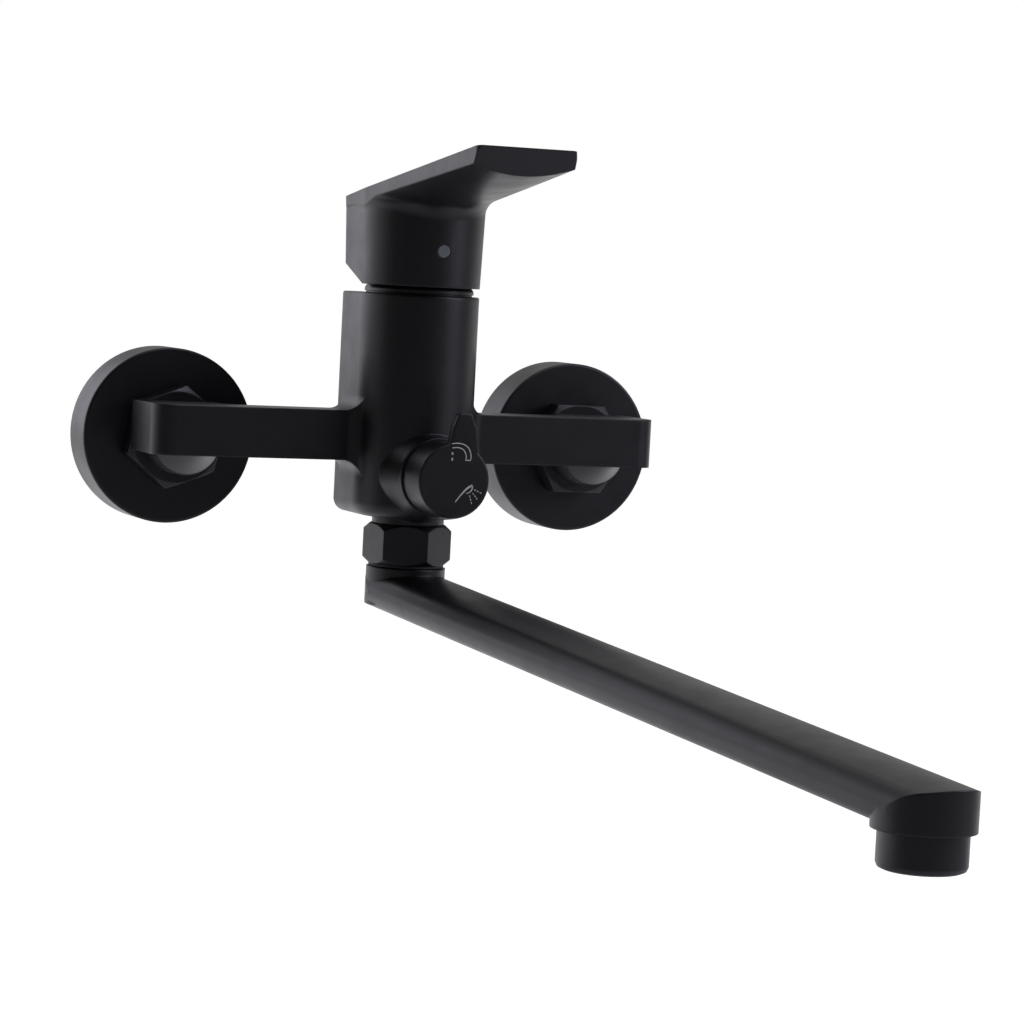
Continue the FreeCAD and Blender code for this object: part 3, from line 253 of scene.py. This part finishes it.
def repaint(node, material):
    """Gives a CAD node another material than its slot's."""
    nodes[node].data.materials.clear()
    nodes[node].data.materials.append(material)


for part in frame["record"]["subparts"]:
    repaint(part["node"], SLOTS[part["material_slot"]])
repaint("dome_cap", satin_black("satin_black_coating_fine_edge", FINE_EDGE))

WALL_THREAD_RADIUS = 10.48 * MM
WALL_THREAD_START = -1.4 * MM
WALL_THREAD_END = 16 * MM
HALF_INLET_SPACING = 75 * MM
for hand, side in (("left", -1), ("right", 1)):
    cut_thread(f"eccentric_union_{hand}", (side * HALF_INLET_SPACING, 0, 0), "Y",
               WALL_THREAD_START, WALL_THREAD_END, WALL_THREAD_RADIUS)

# the hose thread starts below the nipple's end face and stops short of its shoulder
HOSE_THREAD_LEAD = 1 * MM
HOSE_THREAD_TOP = -4.6 * MM
nipple_low, nipple_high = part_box("shower_nipple")
nipple_centre = (0, (nipple_low[1] + nipple_high[1]) / 2, 0)
cut_thread("shower_nipple", nipple_centre, "Z", nipple_low[2] - HOSE_THREAD_LEAD, HOSE_THREAD_TOP,
           (nipple_high[0] - nipple_low[0]) / 2)


# ---------------------------------------------------------------- pictograms on the diverter knob

PRINT = moulded_plastic("white_print", (0.5, 0.5, 0.5), (0.62, 0.62, 0.62), 0.5, 0.62)
KNOB_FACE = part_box("diverter_knob")[0][1]
PRINT_PROUD = 0.05 * MM
PRINT_SUNK = 0.05 * MM


def smooth_line(points, steps=6):
    """Catmull-Rom curve through points, as a denser list."""
    padded = [points[0]] + list(points) + [points[-1]]
    line = []
    for a, b, c, d in zip(padded, padded[1:], padded[2:], padded[3:]):
        for k in range(steps):
            t = k / steps
            line.append(tuple(0.5 * (2 * q + (r - p) * t + (2 * p - 5 * q + 4 * r - u) * t * t
                                     + (3 * q - p - 3 * r + u) * t ** 3) for p, q, r, u in zip(a, b, c, d)))
    return line + [points[-1]]


def print_stroke(name, line, start_width, end_width):
    """A raised printed stroke along points (x, z) of the knob's face in mm, with its widths in mm."""
    verts, faces = [], []
    count = len(line)
    for i, (x, z) in enumerate(line):
        before, after = Vector(line[max(i - 1, 0)]), Vector(line[min(i + 1, count - 1)])
        along = (after - before).normalized()
        side = Vector((-along.y, along.x)) * (start_width + (end_width - start_width) * i / (count - 1)) / 2
        for y in (KNOB_FACE + PRINT_SUNK, KNOB_FACE - PRINT_PROUD):
            for sign in (-1, 1):
                verts.append(((x + sign * side.x) * MM, y, (z + sign * side.y) * MM))
    for i in range(count - 1):
        a, b = 4 * i, 4 * i + 4
        faces += [(a + 2, a + 3, b + 3, b + 2), (a + 1, a, b, b + 1)]
        faces += [(a, a + 2, b + 2, b), (a + 3, a + 1, b + 1, b + 3)]
    faces += [(0, 1, 3, 2), tuple(4 * (count - 1) + k for k in (2, 3, 1, 0))]
    data = bpy.data.meshes.new(name)
    data.from_pydata(verts, [], faces)
    data.update()
    data.materials.append(PRINT)
    mark = bpy.data.objects.new(name, data)
    bpy.context.scene.collection.objects.link(mark)
    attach(mark, "diverter")


LINE = 0.34
DROP = 0.5
spout_outer = smooth_line([(-1.6, 12.4), (1.6, 12.5), (4.2, 11.3), (5.4, 8.9), (5.3, 7.0)])
spout_inner = smooth_line([(-1.3, 11.0), (1.1, 11.1), (2.9, 10.2), (3.7, 8.5), (3.6, 7.0)])
print_stroke("spout_mark_outer", spout_outer, LINE, LINE)
print_stroke("spout_mark_inner", spout_inner, LINE, LINE)
print_stroke("spout_mark_mouth", [(3.45, 7.0), (5.45, 7.0)], LINE, LINE)
print_stroke("spout_mark_drop_high", [(-1.2, 9.6), (-1.2, 8.7)], DROP, DROP)
print_stroke("spout_mark_drop_low", [(-1.2, 7.7), (-1.2, 6.8)], DROP, DROP)

shower_handle = smooth_line([(0.6, -6.9), (2.4, -4.6), (4.4, -2.5), (6.4, -1.2)])
shower_head = smooth_line([(6.4, -1.2), (6.4, -2.4), (5.6, -3.5), (4.4, -4.0)])
print_stroke("shower_mark_handle", shower_handle, 0.32, 0.75)
print_stroke("shower_mark_head", shower_head, 0.5, 0.3)

JETS = (((7.2, -2.6), (10.2, -4.0)), ((6.7, -3.8), (8.7, -6.2)), ((5.6, -4.6), (6.6, -7.8)))
DASHES = 3
DASH_SHARE = 0.2
for number, (start, end) in enumerate(JETS):
    start, end = Vector(start), Vector(end)
    for dash in range(DASHES):
        first = start.lerp(end, dash / DASHES)
        last = start.lerp(end, dash / DASHES + DASH_SHARE)
        print_stroke(f"shower_mark_jet_{number}_{dash}", [tuple(first), tuple(last)], LINE, LINE)


# ---------------------------------------------------------------- stage, light and camera

MIDDLE = (0.0, -0.08, 0.0)
COOL = (0.9, 0.88, 1.0)


def panel(name, centre, width, height, watts):
    """A cool soft box at centre that faces the middle of the faucet."""
    data = bpy.data.lights.new(name, "AREA")
    data.shape = "RECTANGLE"
    data.size = width
    data.size_y = height
    data.energy = watts
    data.color = COOL
    lamp = bpy.data.objects.new(name, data)
    lamp.location = centre
    lamp.rotation_euler = (Vector(MIDDLE) - Vector(centre)).to_track_quat("-Z", "Y").to_euler()
    bpy.context.scene.collection.objects.link(lamp)


FLOOR_BELOW = 0.30
FLOOR_REACH = 30.0
FLOOR_GLOW = 0.85
floor_corners = [(x * FLOOR_REACH, y * FLOOR_REACH, 0) for x, y in ((-1, -1), (1, -1), (1, 1), (-1, 1))]
mesh = bpy.data.meshes.new("studio_floor")
mesh.from_pydata(floor_corners, [], [(0, 1, 2, 3)])
floor = bpy.data.objects.new("studio_floor", mesh)
floor.location = (0, 0, -FLOOR_BELOW)
material, tree, shader, place = new_material("white_light_table")
cloud = noise(tree, place, 2.0, 3.0)
tree.links.new(two_colours(tree, cloud, (0.86, 0.86, 0.86), (0.9, 0.9, 0.9)), shader.inputs["Base Color"])
shader.inputs["Roughness"].default_value = 0.9
shader.inputs["Emission Color"].default_value = (1, 1, 1, 1)

# the floor lights the object only from behind, but looks white from everywhere
parts = tree.nodes.new("ShaderNodeSeparateXYZ")
tree.links.new(place, parts.inputs["Vector"])
glow = spread(tree, parts.outputs["Y"], 0.0, FLOOR_GLOW, -0.15, 0.45)
seen = tree.nodes.new("ShaderNodeLightPath").outputs["Is Camera Ray"]
tree.links.new(calculated(tree, "MAXIMUM", glow, calculated(tree, "MULTIPLY", seen, FLOOR_GLOW)),
               shader.inputs["Emission Strength"])
mesh.materials.append(material)
bpy.context.scene.collection.objects.link(floor)

# white backdrop behind the object, a dark studio in front of it; the camera sees white all round
FRONT_LIGHT = 0.015
BACK_LIGHT = 0.5
world = bpy.data.worlds.new("studio")
world.use_nodes = True
tree = world.node_tree
background = tree.nodes["Background"]
background.inputs["Color"].default_value = (1, 1, 1, 1)
place = tree.nodes.new("ShaderNodeTexCoord")
parts = tree.nodes.new("ShaderNodeSeparateXYZ")
tree.links.new(place.outputs["Generated"], parts.inputs["Vector"])
backness = spread(tree, parts.outputs["Y"], FRONT_LIGHT, BACK_LIGHT, -0.1, 0.55)
seen = tree.nodes.new("ShaderNodeLightPath").outputs["Is Camera Ray"]
tree.links.new(calculated(tree, "MAXIMUM", backness, seen), background.inputs["Strength"])
bpy.context.scene.world = world
bpy.context.scene.view_settings.view_transform = "Standard"

panel("top_front", (0.3, -0.6, 1.3), 0.9, 0.8, 7)
panel("right_front", (0.95, -0.75, 0.5), 0.5, 0.7, 5)
panel("left_back", (-0.55, 0.75, 0.28), 0.9, 0.6, 1.9)

# camera: angles in radians, worked out from the 150 mm between the two inlets
EYE = Vector((-413.84, -1110.25, 70.135)) * MM
YAW = 0.4041
PITCH = 0.0721
ROLL = -0.0516
FOCAL_PIXELS = 3338.17
IMAGE_PIXELS = 1024
SENSOR = 36.0

ahead = Vector((math.sin(YAW) * math.cos(PITCH), math.cos(YAW) * math.cos(PITCH), -math.sin(PITCH)))
level = Vector((math.cos(YAW), -math.sin(YAW), 0))
down = ahead.cross(level)
right = math.cos(ROLL) * level + math.sin(ROLL) * down
below = -math.sin(ROLL) * level + math.cos(ROLL) * down
data = bpy.data.cameras.new("camera")
data.sensor_width = SENSOR
data.lens = FOCAL_PIXELS * SENSOR / IMAGE_PIXELS
camera = bpy.data.objects.new("camera", data)
camera.matrix_world = Matrix.Translation(EYE) @ Matrix((right, -below, -ahead)).transposed().to_4x4()
bpy.context.scene.collection.objects.link(camera)
bpy.context.scene.camera = camera
